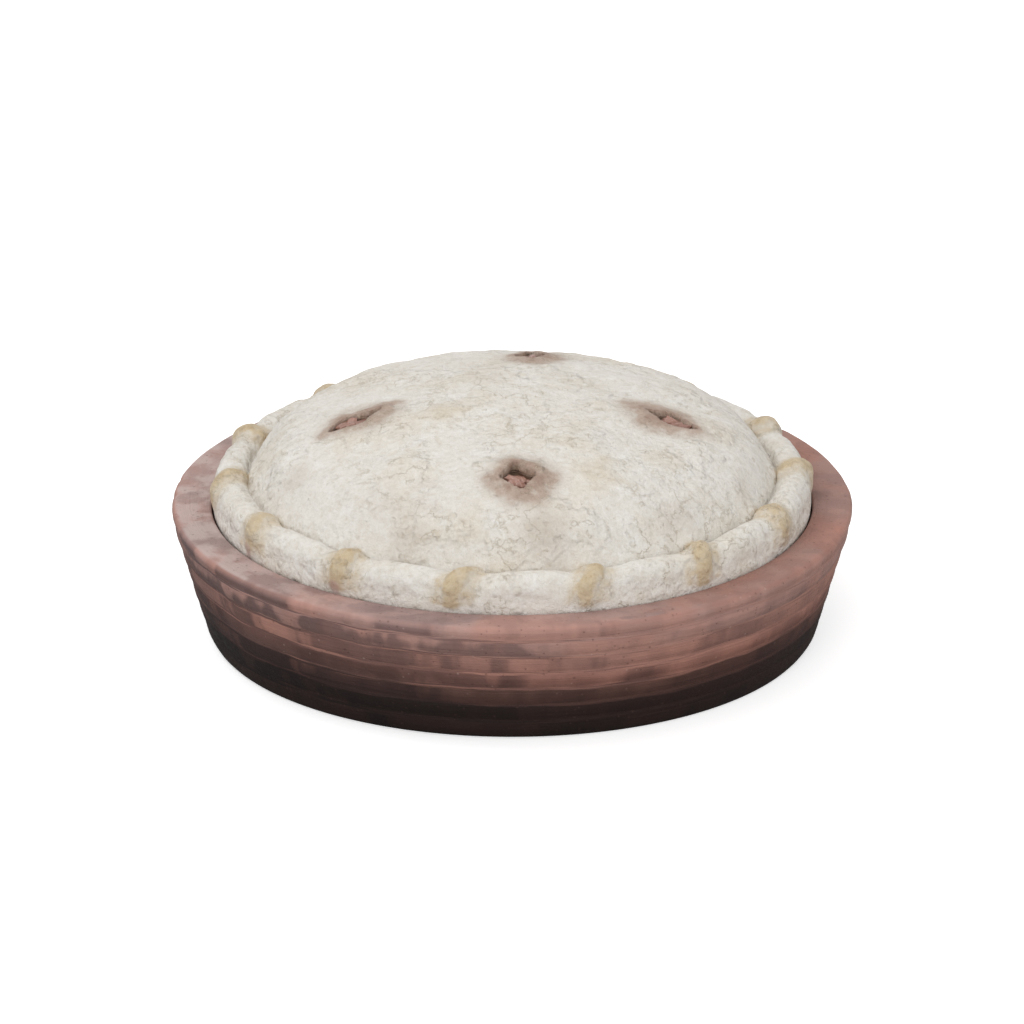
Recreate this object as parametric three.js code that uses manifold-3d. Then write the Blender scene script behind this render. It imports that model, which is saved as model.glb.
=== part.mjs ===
// A smoked salmon pie in its own thick earthenware dish: a domed pastry lid with a rolled,
// pinched edge, tucked inside the rim, and a salmon filling that shows in four steam vents.
// Millimetres, +Z up, origin at the centre of the foot. Angles are measured from the front (-Y),
// positive towards +X.
import * as THREE from "three";
import { mergeVertices } from "three/addons/utils/BufferGeometryUtils.js";
import Module from "manifold-3d";

const wasm = await Module();
wasm.setup();

// Driving dimensions.
const RIM_RADIUS = 120; // outer edge of the dish's rim
const DISH_HEIGHT = 47;
const FOOT_RADIUS = 106.4;
const RIM_WIDTH = 14; // the bare clay ring round the pastry
const FLOOR_THICKNESS = 9;
const LIP_BAND = 5.6; // the smooth band under the rim, above the throwing rings
const BANDS = 6; // throwing rings on the outside wall
const BAND_SWELL = 0.55;
const DOME_TOP = 87;
const CRUST = 5; // thickness of the pastry
const CRIMPS = 14;
const FIRST_CRIMP = 15.3; // degrees from the front
const FIT_GAP = 0.4; // between pieces that touch

// Sizes that follow from them.
const MOUTH_RADIUS = RIM_RADIUS - RIM_WIDTH;
const LID_RADIUS = MOUTH_RADIUS - FIT_GAP;
const CAVITY_RADIUS = MOUTH_RADIUS - 11.5; // inside the dish, at its floor
const TUCK_DEPTH = 3.4; // how far the rolled edge sits below the rim
const SHELF = DISH_HEIGHT - TUCK_DEPTH; // where the rolled edge rests on the filling
const ROLL = {
  radius: LID_RADIUS - 6.4, // of the ring through the middle of the roll
  height: DISH_HEIGHT + 6,
  width: 6.4,
  rise: 6.8,
};
const VALLEY_ANGLE = THREE.MathUtils.degToRad(159); // on the roll, where the dome comes down
const VALLEY = rollPoint(VALLEY_ANGLE);

// Pinches across the rolled edge. Each ridge stands proud, with a thumb print on both sides.
const PINCH = { height: 1, half: 1.9, lean: 5, dent: 1.2, dentAway: 6.2, dentHalf: 3 };
const SLACK = 0.8; // the roll draws in by this much half way between two pinches

// Steam vents: distance from the axis, angle round it, size of the hole, and how far its long
// axis is turned away from the radius.
const VENTS = [
  { away: 58, round: 2, long: 17, wide: 13.5, turn: 8 },
  { away: 56.5, round: 84.5, long: 22, wide: 10, turn: -22 },
  { away: 57, round: 173.5, long: 21, wide: 11, turn: 10 },
  { away: 56, round: -84, long: 23, wide: 10, turn: 26 },
];
const VENT_POWER = 1.35; // under 2, so the hole is a diamond with soft corners
const LIP_THICKNESS = 1.5; // of the raised, torn edge round a vent

const SIDES = { dish: 72, lid: 9 * CRIMPS, filling: 48, vent: 20 };
const UNDER_STEPS = 6; // along the hidden dome between pastry and filling

// Colours and finishes.
const CLAY = new THREE.MeshStandardMaterial({ color: 0x93695f, roughness: 0.75, metalness: 0 });
const PASTRY = new THREE.MeshStandardMaterial({ color: 0xded8cc, roughness: 0.6, metalness: 0 });
const SALMON = new THREE.MeshStandardMaterial({ color: 0x9c6f62, roughness: 0.35, metalness: 0 });

// A point of the roll's cross-section, as distance from the axis and height.
function rollPoint(angle) {
  return new THREE.Vector2(
    ROLL.radius + ROLL.width * Math.cos(angle),
    ROLL.height + ROLL.rise * Math.sin(angle),
  );
}

// The top of the dome from the axis down to the valley, and the same line sunk by a depth.
function domeCurve(depth = 0) {
  const inset = (depth * 0.85) / CRUST;
  return new THREE.SplineCurve([
    new THREE.Vector2(0, DOME_TOP - depth),
    new THREE.Vector2(34, DOME_TOP - 2.3 - depth),
    new THREE.Vector2(65.5 - inset, DOME_TOP - 8.6 - depth),
    new THREE.Vector2(80.5 - 3 * inset, DOME_TOP - 14.6 - depth),
    new THREE.Vector2(88.2 - 4.5 * inset, DOME_TOP - 22.4 - depth),
    new THREE.Vector2(VALLEY.x - 5 * inset, VALLEY.y - depth),
  ]);
}

// Height of the dome's top at a distance from the axis.
function domeHeight(away) {
  const points = domeCurve().getPoints(200);
  const next = points.findIndex((p) => p.x >= away);
  if (next <= 0) return DOME_TOP;
  const [a, b] = [points[next - 1], points[next]];
  return THREE.MathUtils.mapLinear(away, a.x, b.x, a.y, b.y);
}

// Turns a profile (distance from the axis, height) round +Z.
function turned(profile, sides) {
  return new THREE.LatheGeometry(profile, sides).rotateX(Math.PI / 2);
}

// A closed geometry with shared vertices, as a solid that can be cut and joined.
function toSolid(geometry) {
  const bare = new THREE.BufferGeometry();
  bare.setAttribute("position", geometry.getAttribute("position"));
  bare.setIndex(geometry.index);
  const merged = mergeVertices(bare, 1e-3);
  return new wasm.Manifold(
    new wasm.Mesh({
      numProp: 3,
      vertProperties: new Float32Array(merged.attributes.position.array),
      triVerts: new Uint32Array(merged.index.array),
    }),
  );
}

function toGeometry(solid) {
  const { numVert, numProp, vertProperties, triVerts } = solid.getMesh();
  const positions = new Float32Array(numVert * 3);
  for (let i = 0; i < numVert; i++) {
    positions.set(vertProperties.subarray(i * numProp, i * numProp + 3), i * 3);
  }
  const geometry = new THREE.BufferGeometry();
  geometry.setAttribute("position", new THREE.BufferAttribute(positions, 3));
  geometry.setIndex(new THREE.BufferAttribute(new Uint32Array(triVerts), 1));
  geometry.computeVertexNormals();
  return geometry;
}

// Moves each vertex of a turned geometry. move gets the angle from the front, the distance from
// the axis and the height, and returns the new three.
function moved(geometry, move) {
  const position = geometry.getAttribute("position");
  for (let i = 0; i < position.count; i++) {
    const [x, y, z] = [position.getX(i), position.getY(i), position.getZ(i)];
    const [angle, away, height] = move(Math.atan2(x, -y), Math.hypot(x, y), z);
    position.setXYZ(i, away * Math.sin(angle), -away * Math.cos(angle), height);
  }
  return geometry;
}

// The dish: a straight, flared wall with throwing rings, a flat rim and a plain flat foot.
function makeDish() {
  const foot = 1.6; // radius of the worn edge of the foot
  const lip = 2.4; // radius of the rim's outer edge
  const flare = (RIM_RADIUS - FOOT_RADIUS) / (DISH_HEIGHT - lip);
  const wallAt = (height) => FOOT_RADIUS + flare * height;
  const bandsFrom = foot;
  const bandsTo = DISH_HEIGHT - LIP_BAND;
  const bandHeight = (bandsTo - bandsFrom) / BANDS;

  const outline = new THREE.Path();
  outline.moveTo(0, 0);
  outline.lineTo(FOOT_RADIUS - foot, 0);
  outline.quadraticCurveTo(FOOT_RADIUS, 0, wallAt(foot), foot);
  for (let band = 0; band < BANDS; band++) {
    const low = bandsFrom + band * bandHeight;
    const middle = low + bandHeight / 2;
    const high = low + bandHeight;
    outline.quadraticCurveTo(wallAt(middle) + 2 * BAND_SWELL, middle, wallAt(high), high);
  }
  outline.lineTo(wallAt(DISH_HEIGHT - lip), DISH_HEIGHT - lip);
  outline.quadraticCurveTo(RIM_RADIUS, DISH_HEIGHT, RIM_RADIUS - lip, DISH_HEIGHT);
  outline.lineTo(MOUTH_RADIUS + 1.2, DISH_HEIGHT);
  outline.lineTo(MOUTH_RADIUS, DISH_HEIGHT - 1.2);
  outline.lineTo(MOUTH_RADIUS, SHELF);
  outline.lineTo(CAVITY_RADIUS + 1.5, FLOOR_THICKNESS + 5);
  outline.quadraticCurveTo(CAVITY_RADIUS, FLOOR_THICKNESS, CAVITY_RADIUS - 6, FLOOR_THICKNESS);
  outline.lineTo(0, FLOOR_THICKNESS);
  return turned(outline.getPoints(2), SIDES.dish);
}

// The filling takes up the dish and the hollow under the pastry.
function makeFilling() {
  const under = domeCurve(CRUST + FIT_GAP).getPoints(UNDER_STEPS).reverse();
  const top = SHELF - FIT_GAP;
  const profile = [
    new THREE.Vector2(0, FLOOR_THICKNESS + FIT_GAP),
    new THREE.Vector2(CAVITY_RADIUS - 6.5, FLOOR_THICKNESS + FIT_GAP),
    new THREE.Vector2(CAVITY_RADIUS + 1.5 - 2 * FIT_GAP, FLOOR_THICKNESS + 5),
    new THREE.Vector2(MOUTH_RADIUS - 2 * FIT_GAP, top),
    new THREE.Vector2(under[0].x, top),
    ...under.slice(1),
  ];
  let filling = toSolid(turned(profile, SIDES.filling));
  VENTS.forEach((vent) => {
    filling = filling.add(flakesIn(vent));
  });
  return toGeometry(filling);
}

// Lumps of salmon that swell into a vent, kept clear of the pastry round it.
function flakesIn(vent) {
  const lumps = 3;
  let heap = null;
  for (let i = 0; i < lumps; i++) {
    const along = (i - 1) * 0.29 * vent.long;
    const lump = new THREE.IcosahedronGeometry(1, 1)
      .scale(0.36 * vent.long, 0.42 * vent.wide, 3.4)
      .rotateZ((i - 1) * 0.5)
      .translate(along, (i % 2 ? 0.1 : -0.08) * vent.wide, 0.5 * (i % 2));
    heap = heap ? heap.add(toSolid(lump)) : toSolid(lump);
  }
  const top = domeHeight(vent.away) - CRUST;
  const opening = ventPrism(vent, 1 - (2.4 * FIT_GAP) / vent.wide, top - 8, top + 4);
  return heap.transform(ventMatrix(vent, top).elements).intersect(opening);
}

// Carries a shape from a vent's own frame, long axis along +X, to its place at a height.
function ventMatrix(vent, height) {
  const round = THREE.MathUtils.degToRad(vent.round);
  const long = THREE.MathUtils.degToRad(vent.round - 90 + vent.turn);
  return new THREE.Matrix4()
    .makeTranslation(vent.away * Math.sin(round), -vent.away * Math.cos(round), height)
    .multiply(new THREE.Matrix4().makeRotationZ(long));
}

// A point of a vent's outline in its own frame.
function ventOutline(vent, turn, grow = 0) {
  const bend = (value) => Math.sign(value) * Math.abs(value) ** (2 / VENT_POWER);
  return new THREE.Vector2(
    (vent.long / 2 + grow) * bend(Math.cos(turn)),
    (vent.wide / 2 + grow) * bend(Math.sin(turn)),
  );
}

// A vent's outline, scaled, as an upright solid between two heights.
function ventPrism(vent, scale, low, high) {
  const outline = [];
  for (let i = 0; i < SIDES.vent; i++) {
    outline.push(ventOutline(vent, ((i + 0.5) / SIDES.vent) * 2 * Math.PI).multiplyScalar(scale));
  }
  const prism = new THREE.ExtrudeGeometry(new THREE.Shape(outline), {
    depth: high - low,
    bevelEnabled: false,
  });
  return toSolid(prism.applyMatrix4(ventMatrix(vent, low)));
}

// The raised edge round a vent: a ring bent to the outline, lying on the dome.
function ventLip(vent) {
  const ring = new THREE.TorusGeometry(1, 0.5, 8, SIDES.vent);
  const position = ring.getAttribute("position");
  const place = ventMatrix(vent, 0);
  const point = new THREE.Vector3();
  for (let i = 0; i < position.count; i++) {
    point.fromBufferAttribute(position, i);
    const around = Math.atan2(point.y, point.x);
    const outwards = 2 * LIP_THICKNESS * (Math.hypot(point.x, point.y) - 1);
    const up = 2 * LIP_THICKNESS * point.z;
    const flat = ventOutline(vent, around, outwards);
    point.set(flat.x, flat.y, 0).applyMatrix4(place);
    point.z = domeHeight(Math.hypot(point.x, point.y)) - 0.3 * LIP_THICKNESS + up;
    position.setXYZ(i, point.x, point.y, point.z);
  }
  return toSolid(ring);
}

// The pinches, as a move of the lid's own surface.
function pinch(angle, away, height) {
  // Columns of vertices gather at the pinches, where the shape changes fast.
  const pitch = (2 * Math.PI) / CRIMPS;
  const first = THREE.MathUtils.degToRad(FIRST_CRIMP);
  const phase = (angle - first) * CRIMPS;
  const gathered = angle - (0.55 / CRIMPS) * Math.sin(phase);

  const [across, up] = [away - ROLL.radius, height - ROLL.height];
  const reach = Math.hypot(across / ROLL.width, up / ROLL.rise);
  const outside = THREE.MathUtils.smoothstep(height, DISH_HEIGHT - 1, DISH_HEIGHT + 2);
  const inside = 1 - THREE.MathUtils.smoothstep(VALLEY.x - away, 0, 3);
  const share = reach > 0.9 ? outside * inside : 0;
  const nearest = first + Math.round((gathered - first) / pitch) * pitch;
  const lean = (PINCH.lean * across) / ROLL.width / 2;
  const aside = LID_RADIUS * (gathered - nearest) - lean;
  const ridge = PINCH.height * Math.exp(-((aside / PINCH.half) ** 2));
  const dent = PINCH.dent * Math.exp(-(((Math.abs(aside) - PINCH.dentAway) / PINCH.dentHalf) ** 2));
  const slack = SLACK * (0.5 - 0.5 * Math.cos((gathered - first) * CRIMPS));
  const swell = share * (ridge - dent);
  return [
    gathered,
    away + (swell * across) / ROLL.width - share * slack,
    height + (swell * up) / ROLL.rise,
  ];
}

// The pastry: dome, valley, rolled edge and tucked hem in one piece, with the vents cut through.
function makeLid() {
  const dome = domeCurve().getPoints(7);
  const roll = [];
  const rollSteps = 7;
  for (let i = 1; i <= rollSteps; i++) {
    roll.push(rollPoint(VALLEY_ANGLE * (1 - i / rollSteps)));
  }
  const under = domeCurve(CRUST).getPoints(UNDER_STEPS).reverse();
  const profile = [
    ...dome,
    ...roll,
    new THREE.Vector2(LID_RADIUS, DISH_HEIGHT + 1),
    new THREE.Vector2(LID_RADIUS - 0.3, SHELF + 1.5),
    new THREE.Vector2(LID_RADIUS - 2, SHELF),
    new THREE.Vector2(under[0].x, SHELF),
    ...under.slice(1),
  ];
  let lid = toSolid(moved(turned(profile.reverse(), SIDES.lid), pinch));
  VENTS.forEach((vent) => {
    lid = lid.add(ventLip(vent));
  });
  VENTS.forEach((vent) => {
    lid = lid.subtract(ventPrism(vent, 1, DISH_HEIGHT, DOME_TOP + 5));
  });
  return toGeometry(lid);
}

function piece(name, geometry, material) {
  const mesh = new THREE.Mesh(geometry, material);
  mesh.name = name;
  return mesh;
}

const pie = new THREE.Group();
pie.add(piece("dish", makeDish(), CLAY));
pie.add(piece("filling", makeFilling(), SALMON));
pie.add(piece("pastry_lid", makeLid(), PASTRY));

export default pie;
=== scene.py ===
"""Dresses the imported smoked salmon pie: earthenware dish, salmon filling and baked pastry lid.

Metres, +Z up, origin at the centre of the foot. Angles are measured from the front (-Y),
positive towards +X.
"""

import contextlib
import itertools
import logging
import math
import random
from collections.abc import Callable, Iterator, Sequence
from dataclasses import dataclass
from enum import Enum

import bmesh
import bpy
import numpy as np
from mathutils import Matrix, Vector


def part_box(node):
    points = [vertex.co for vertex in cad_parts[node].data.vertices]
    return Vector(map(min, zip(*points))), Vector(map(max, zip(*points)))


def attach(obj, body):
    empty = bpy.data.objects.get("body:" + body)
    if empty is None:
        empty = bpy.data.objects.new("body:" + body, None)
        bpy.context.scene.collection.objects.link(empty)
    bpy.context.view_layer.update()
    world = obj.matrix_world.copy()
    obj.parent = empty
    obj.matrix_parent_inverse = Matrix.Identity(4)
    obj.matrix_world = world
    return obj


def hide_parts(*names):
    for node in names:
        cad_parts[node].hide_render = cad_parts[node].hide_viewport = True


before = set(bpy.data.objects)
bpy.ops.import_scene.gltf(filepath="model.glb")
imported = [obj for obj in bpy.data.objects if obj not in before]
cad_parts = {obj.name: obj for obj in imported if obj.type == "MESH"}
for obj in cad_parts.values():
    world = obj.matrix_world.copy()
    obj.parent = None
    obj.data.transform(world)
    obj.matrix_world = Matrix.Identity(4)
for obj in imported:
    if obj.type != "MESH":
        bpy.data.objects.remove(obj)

log = logging.getLogger("salmon_pie")

MM = 0.001
Point = tuple[float, float]  # distance from the axis, height
Colour = tuple[float, float, float, float]

# Sizes that the frame gives.
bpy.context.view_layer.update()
RIM_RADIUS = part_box("dish")[1].x
DISH_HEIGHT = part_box("dish")[1].z
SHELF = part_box("pastry_lid")[0].z  # where the rolled edge rests
DOME_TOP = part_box("pastry_lid")[1].z
DISH_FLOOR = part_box("filling")[0].z

# Driving sizes of the pie, as in the part's own source.
FOOT_RADIUS = 106.4 * MM
RIM_WIDTH = 14 * MM
FIT_GAP = 0.4 * MM
CRUST = 5 * MM
CRIMPS = 14
FIRST_CRIMP = math.radians(15.3)
MOUTH_RADIUS = RIM_RADIUS - RIM_WIDTH
LID_RADIUS = MOUTH_RADIUS - FIT_GAP
CAVITY_RADIUS = MOUTH_RADIUS - 11.5 * MM
DOME_RADIUS = 90 * MM  # the valley between dome and roll lies outside it


class Slot(Enum):
    """The record's material slots."""

    CLAY = "clay"
    SALMON = "salmon"
    PASTRY = "pastry"


class Mask(Enum):
    """Painted vertex attributes that the finishes read."""

    TOAST = "toast"
    STAIN = "stain"
    BLUSH = "blush"
    ROSE = "rose"
    HIGH = "high"
    CUT = "cut"
    LAYER = "layer"


# ------------------------------------------------------------------ bench: meshes by hand


def select(*pieces: bpy.types.Object) -> None:
    """Selects some objects and nothing else, and makes the first of them active.

    Args:
        *pieces: the objects, or none of them to leave every one.
    """
    bpy.ops.object.select_all(action="DESELECT")
    for piece in reversed(pieces):
        piece.select_set(True)
        bpy.context.view_layer.objects.active = piece


@contextlib.contextmanager
def editing(piece: bpy.types.Object, everything: bool = False) -> Iterator[None]:
    """Opens a piece in edit mode, with vertices as what is selected.

    Args:
        piece: the mesh object to edit.
        everything: True selects all of it, False keeps what is picked.
    """
    select(piece)
    bpy.ops.object.mode_set(mode="EDIT")
    bpy.ops.mesh.select_mode(type="VERT")
    if everything:
        bpy.ops.mesh.select_all(action="SELECT")
    try:
        yield
    finally:
        bpy.ops.object.mode_set(mode="OBJECT")


def places(piece: bpy.types.Object) -> np.ndarray:
    """Reads the places of a piece's vertices.

    Args:
        piece: the mesh object.

    Returns:
        One row (x, y, z) for each vertex.
    """
    flat = np.empty(len(piece.data.vertices) * 3)
    piece.data.vertices.foreach_get("co", flat)
    return flat.reshape(-1, 3)


def polar(spots: np.ndarray) -> tuple[np.ndarray, np.ndarray, np.ndarray]:
    """Splits places into angle from the front, distance from the axis, and height."""
    x, y, z = spots.T
    return np.arctan2(x, -y), np.hypot(x, y), z


def on_circle(angle: float, away: float, height: float = 0) -> tuple[float, float, float]:
    """The place at an angle from the front, a distance from the axis and a height."""
    return (away * math.sin(angle), -away * math.cos(angle), height)


def pick(piece: bpy.types.Object, chosen: np.ndarray) -> None:
    """Selects some vertices of a piece, and nothing else of it.

    Args:
        piece: the mesh object.
        chosen: one truth value for each vertex.
    """
    for part in (piece.data.polygons, piece.data.edges):
        part.foreach_set("select", np.zeros(len(part), bool))
    piece.data.vertices.foreach_set("select", chosen)


def smoothstep(value: np.ndarray, low: float, high: float) -> np.ndarray:
    """0 below low, 1 above high, and a smooth step between."""
    share = np.clip((value - low) / (high - low), 0, 1)
    return share * share * (3 - 2 * share)


def nudge(
    piece: bpy.types.Object, chosen: np.ndarray, reach: float, out: float = 0, up: float = 0
) -> None:
    """Pushes or pulls a spot of the surface, and less what lies round it.

    Args:
        piece: the mesh object.
        chosen: the vertices at the middle of the spot.
        reach: how far round them the surface follows.
        out: how far the spot moves along its normals.
        up: how far it moves along +Z.
    """
    if not chosen.any():
        return
    pick(piece, chosen)
    soft = {
        "use_proportional_edit": True,
        "proportional_edit_falloff": "SMOOTH",
        "proportional_size": reach,
    }
    with editing(piece):
        if out:
            bpy.ops.transform.shrink_fatten(value=out, **soft)
        if up:
            bpy.ops.transform.translate(value=(0, 0, up), **soft)


def tidy(piece: bpy.types.Object) -> None:
    """Merges a piece's doubles and turns its faces outwards.

    Args:
        piece: the mesh object.
    """
    with editing(piece, everything=True):
        bpy.ops.mesh.remove_doubles(threshold=0.01 * MM)
        bpy.ops.mesh.select_all(action="SELECT")
        bpy.ops.mesh.normals_make_consistent(inside=False)


def turn_outline(
    name: str,
    outline: Sequence[Point],
    columns: int,
    start: float = 0,
    sweep: float = math.tau,
) -> bpy.types.Object:
    """Draws a line by extruding a corner from point to point, and turns it as on a wheel.

    Args:
        name: the new object's name.
        outline: the points of the line, as distance from the axis and height.
        columns: steps round the sweep.
        start: angle of the first column from the front.
        sweep: angle from the first column to the last.

    Returns:
        The turned surface as a mesh object.
    """
    select()
    bpy.ops.mesh.primitive_plane_add(size=MM)
    piece = bpy.context.object
    piece.name = name
    out = Vector(on_circle(start, 1))
    spots = [out * away + Vector((0, 0, height)) for away, height in outline]
    with editing(piece, everything=True):
        bpy.ops.mesh.merge(type="CENTER")
        bpy.ops.transform.translate(value=spots[0])
        for here, there in itertools.pairwise(spots):
            bpy.ops.mesh.extrude_vertices_move(TRANSFORM_OT_translate={"value": there - here})
        bpy.ops.mesh.select_all(action="SELECT")
        bpy.ops.mesh.spin(steps=columns, angle=-sweep, center=(0, 0, 0), axis=(0, 0, 1))
    tidy(piece)
    return piece


def join(pieces: Sequence[bpy.types.Object], name: str) -> bpy.types.Object:
    """Joins mesh objects into the first of them.

    Args:
        pieces: the objects.
        name: what the joined one is called.

    Returns:
        The joined object.
    """
    select(*pieces)
    bpy.ops.object.join()
    pieces[0].name = name
    return pieces[0]


def bridge(piece: bpy.types.Object, first: Point, second: Point) -> None:
    """Closes the gap between two round edges of a piece with faces.

    Args:
        piece: the mesh object.
        first: distance and height of one edge.
        second: distance and height of the other.
    """
    _, away, height = polar(places(piece))
    on_edge = np.zeros(len(away), bool)
    for distance, level in (first, second):
        on_edge |= np.hypot(away - distance, height - level) < 0.02 * MM
    pick(piece, on_edge)
    with editing(piece):
        bpy.ops.mesh.bridge_edge_loops()


def apply_modifier(piece: bpy.types.Object, kind: str, **settings: object) -> None:
    """Adds a modifier to a piece and applies it.

    Args:
        piece: the mesh object.
        kind: the modifier's type.
        **settings: its properties.
    """
    modifier = piece.modifiers.new(kind.lower(), kind)
    for key, value in settings.items():
        setattr(modifier, key, value)
    select(piece)
    bpy.ops.object.modifier_apply(modifier=modifier.name)


def weigh(piece: bpy.types.Object, name: str, weights: np.ndarray) -> None:
    """Stores weights as a vertex group, in fine steps.

    Args:
        piece: the mesh object.
        name: the vertex group's name.
        weights: one from 0 to 1 for each vertex.
    """
    group = piece.vertex_groups.new(name=name)
    steps = 32
    levels = np.round(np.clip(weights, 0, 1) * steps).astype(int)
    for level in np.unique(levels):
        group.add(np.flatnonzero(levels == level).tolist(), level / steps, "REPLACE")


def paint(piece: bpy.types.Object, mask: Mask, values: np.ndarray) -> None:
    """Stores a mask as a vertex attribute that the finish reads.

    Args:
        piece: the mesh object.
        mask: which one.
        values: one from 0 to 1 for each vertex.
    """
    attribute = piece.data.attributes.new(mask.value, "FLOAT", "POINT")
    attribute.data.foreach_set("value", np.clip(values, 0, 1).astype(np.float32))


@dataclass(frozen=True)
class Relief:
    """Uneven relief over a surface, made by a cloud texture.

    Attributes:
        name: what the relief is.
        size: width of its features.
        height: from its lowest to its highest places.
        detail: how many finer layers the clouds have.
    """

    name: str
    size: float
    height: float
    detail: int = 2

    def press(self, piece: bpy.types.Object, group: str) -> None:
        """Moves a piece's surface by this relief, less where a vertex group is weak.

        Args:
            piece: the mesh object.
            group: the vertex group's name.
        """
        texture = bpy.data.textures.new(self.name, "CLOUDS")
        texture.noise_scale = self.size
        texture.noise_depth = self.detail
        texture.noise_basis = "IMPROVED_PERLIN"
        settings = {"texture": texture, "strength": self.height, "mid_level": 0.5}
        apply_modifier(piece, "DISPLACE", vertex_group=group, **settings)


def finish_piece(
    piece: bpy.types.Object, node: str, material: bpy.types.Material
) -> None:
    """Hands a finished piece to the frame, in place of its CAD node.

    Args:
        piece: the mesh object, at the origin.
        node: the CAD node that it replaces, or "" if it replaces none.
        material: its finish.
    """
    with editing(piece, everything=True):
        bpy.ops.mesh.faces_shade_smooth()
    piece.data.materials.clear()
    piece.data.materials.append(material)
    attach(piece, "root")
    if node:
        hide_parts(node)
    faces = len(piece.data.polygons)
    log.info("%s: %d faces, finish %s", piece.name, faces, material.name)


# ------------------------------------------------------------------ bench: shader nodes


def srgb(code: str) -> Colour:
    """Turns six hexadecimal digits into a colour.

    Args:
        code: such as "c3b397".

    Returns:
        The linear colour, with alpha 1.
    """
    parts = [int(code[i : i + 2], 16) / 255 for i in (0, 2, 4)]
    linear = [p / 12.92 if p <= 0.04045 else ((p + 0.055) / 1.055) ** 2.4 for p in parts]
    return (*linear, 1.0)


@dataclass(frozen=True)
class Signal:
    """What a node puts out. It can be reckoned with as with a number.

    Attributes:
        wiring: of the tree that the node is in.
        socket: the node's output.
    """

    wiring: "Wiring"
    socket: bpy.types.NodeSocket

    def __add__(self, other: "Signal | float") -> "Signal":
        """Adds."""
        return self.wiring.math("ADD", self, other)

    def __sub__(self, other: "Signal | float") -> "Signal":
        """Takes away."""
        return self.wiring.math("SUBTRACT", self, other)

    def __rsub__(self, other: float) -> "Signal":
        """Takes this away from a number."""
        return self.wiring.math("SUBTRACT", other, self)

    def __mul__(self, other: "Signal | float") -> "Signal":
        """Multiplies."""
        return self.wiring.math("MULTIPLY", self, other)

    def __truediv__(self, other: "Signal | float") -> "Signal":
        """Divides."""
        return self.wiring.math("DIVIDE", self, other)

    __radd__ = __add__
    __rmul__ = __mul__


class Wiring:
    """Places and links the nodes of one node tree."""

    def __init__(self, tree: bpy.types.NodeTree) -> None:
        """Starts on a tree, and empties it."""
        self.tree = tree
        tree.nodes.clear()

    def node(
        self, kind: str, sockets: dict[object, object] | None = None, **settings: object
    ) -> bpy.types.Node:
        """Adds a node.

        Args:
            kind: its type, without the ShaderNode in front.
            sockets: what goes into each input: a value, or another node's signal.
            **settings: the node's own properties.

        Returns:
            The new node.
        """
        node = self.tree.nodes.new(f"ShaderNode{kind}")
        for key, value in settings.items():
            setattr(node, key, value)
        for key, value in (sockets or {}).items():
            if isinstance(value, Signal):
                self.tree.links.new(value.socket, node.inputs[key])
            else:
                node.inputs[key].default_value = value
        return node

    def signal(
        self,
        kind: str,
        sockets: dict[object, object] | None = None,
        out: int | str = 0,
        **settings: object,
    ) -> Signal:
        """Adds a node, as node() does, and gives the signal of its output named out."""
        return Signal(self, self.node(kind, sockets, **settings).outputs[out])

    def split(self, node: bpy.types.Node) -> list[Signal]:
        """The signals of all of a node's outputs, in their order."""
        return [Signal(self, socket) for socket in node.outputs]

    def math(self, operation: str, *values: Signal | float) -> Signal:
        """Adds a math node on some values."""
        return self.signal("Math", dict(enumerate(values)), operation=operation)

    def step(self, value: Signal, low: Signal | float, high: Signal | float) -> Signal:
        """A smooth step from 0 at low to 1 at high."""
        sockets = {"Value": value, "From Min": low, "From Max": high}
        return self.signal("MapRange", sockets, interpolation_type="SMOOTHSTEP")

    def blend(
        self,
        share: Signal | float,
        below: Signal | Colour,
        above: Signal | Colour,
        kind: str = "MIX",
    ) -> Signal:
        """Lays one colour over another.

        Args:
            share: how much of the upper colour shows.
            below: the lower colour.
            above: the upper colour.
            kind: how they mix.

        Returns:
            The mixed colour.
        """
        sockets = {0: share, 6: below, 7: above}
        return self.signal(
            "Mix", sockets, 2, data_type="RGBA", blend_type=kind, clamp_factor=True
        )

    def dim(self, share: Signal | float, colour: Signal, left: Signal | Colour) -> Signal:
        """Darkens a colour by a share of the way to what is left of its light."""
        return self.blend(share, colour, left, "MULTIPLY")

    def place(self, x: float = 1, y: float = 1, z: float = 1) -> Signal:
        """The object coordinates, stretched by a scale for each axis."""
        where = self.signal("TexCoord", out="Object")
        return self.signal("Mapping", {"Vector": where, "Scale": (x, y, z)})

    def combine(self, x: Signal, y: Signal, z: Signal | float = 0.0) -> Signal:
        """A place made of three numbers."""
        return self.signal("CombineXYZ", {0: x, 1: y, 2: z})

    def noise(
        self,
        where: Signal,
        scale: Signal | float,
        detail: Signal | float,
        roughness: float = 0.5,
    ) -> Signal:
        """Cloudy noise about 0.5."""
        sockets = {"Vector": where, "Scale": scale, "Detail": detail, "Roughness": roughness}
        return self.signal("TexNoise", sockets)

    def stair(self, level: Signal, low: Signal | float, high: Signal | float) -> Signal:
        """Turns a rising level into flat steps of 1, with soft risers."""
        return self.math("FLOOR", level) + self.step(self.math("FRACT", level), low, high)

    def painted(self, mask: Mask) -> Signal:
        """A painted mask of the piece."""
        return self.signal("Attribute", out="Fac", attribute_name=mask.value)

    def bump(self, height: Signal, strength: float, distance: float) -> Signal:
        """The normal of a surface with this relief."""
        return self.signal("Bump", {"Height": height, "Strength": strength, "Distance": distance})

    def use(
        self, group: bpy.types.NodeTree, where: Signal, **sockets: Signal | float
    ) -> Signal:
        """Places a shared node group, with the place it is read at and its other inputs."""
        return self.signal("Group", {"where": where, **sockets}, node_tree=group)


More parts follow.
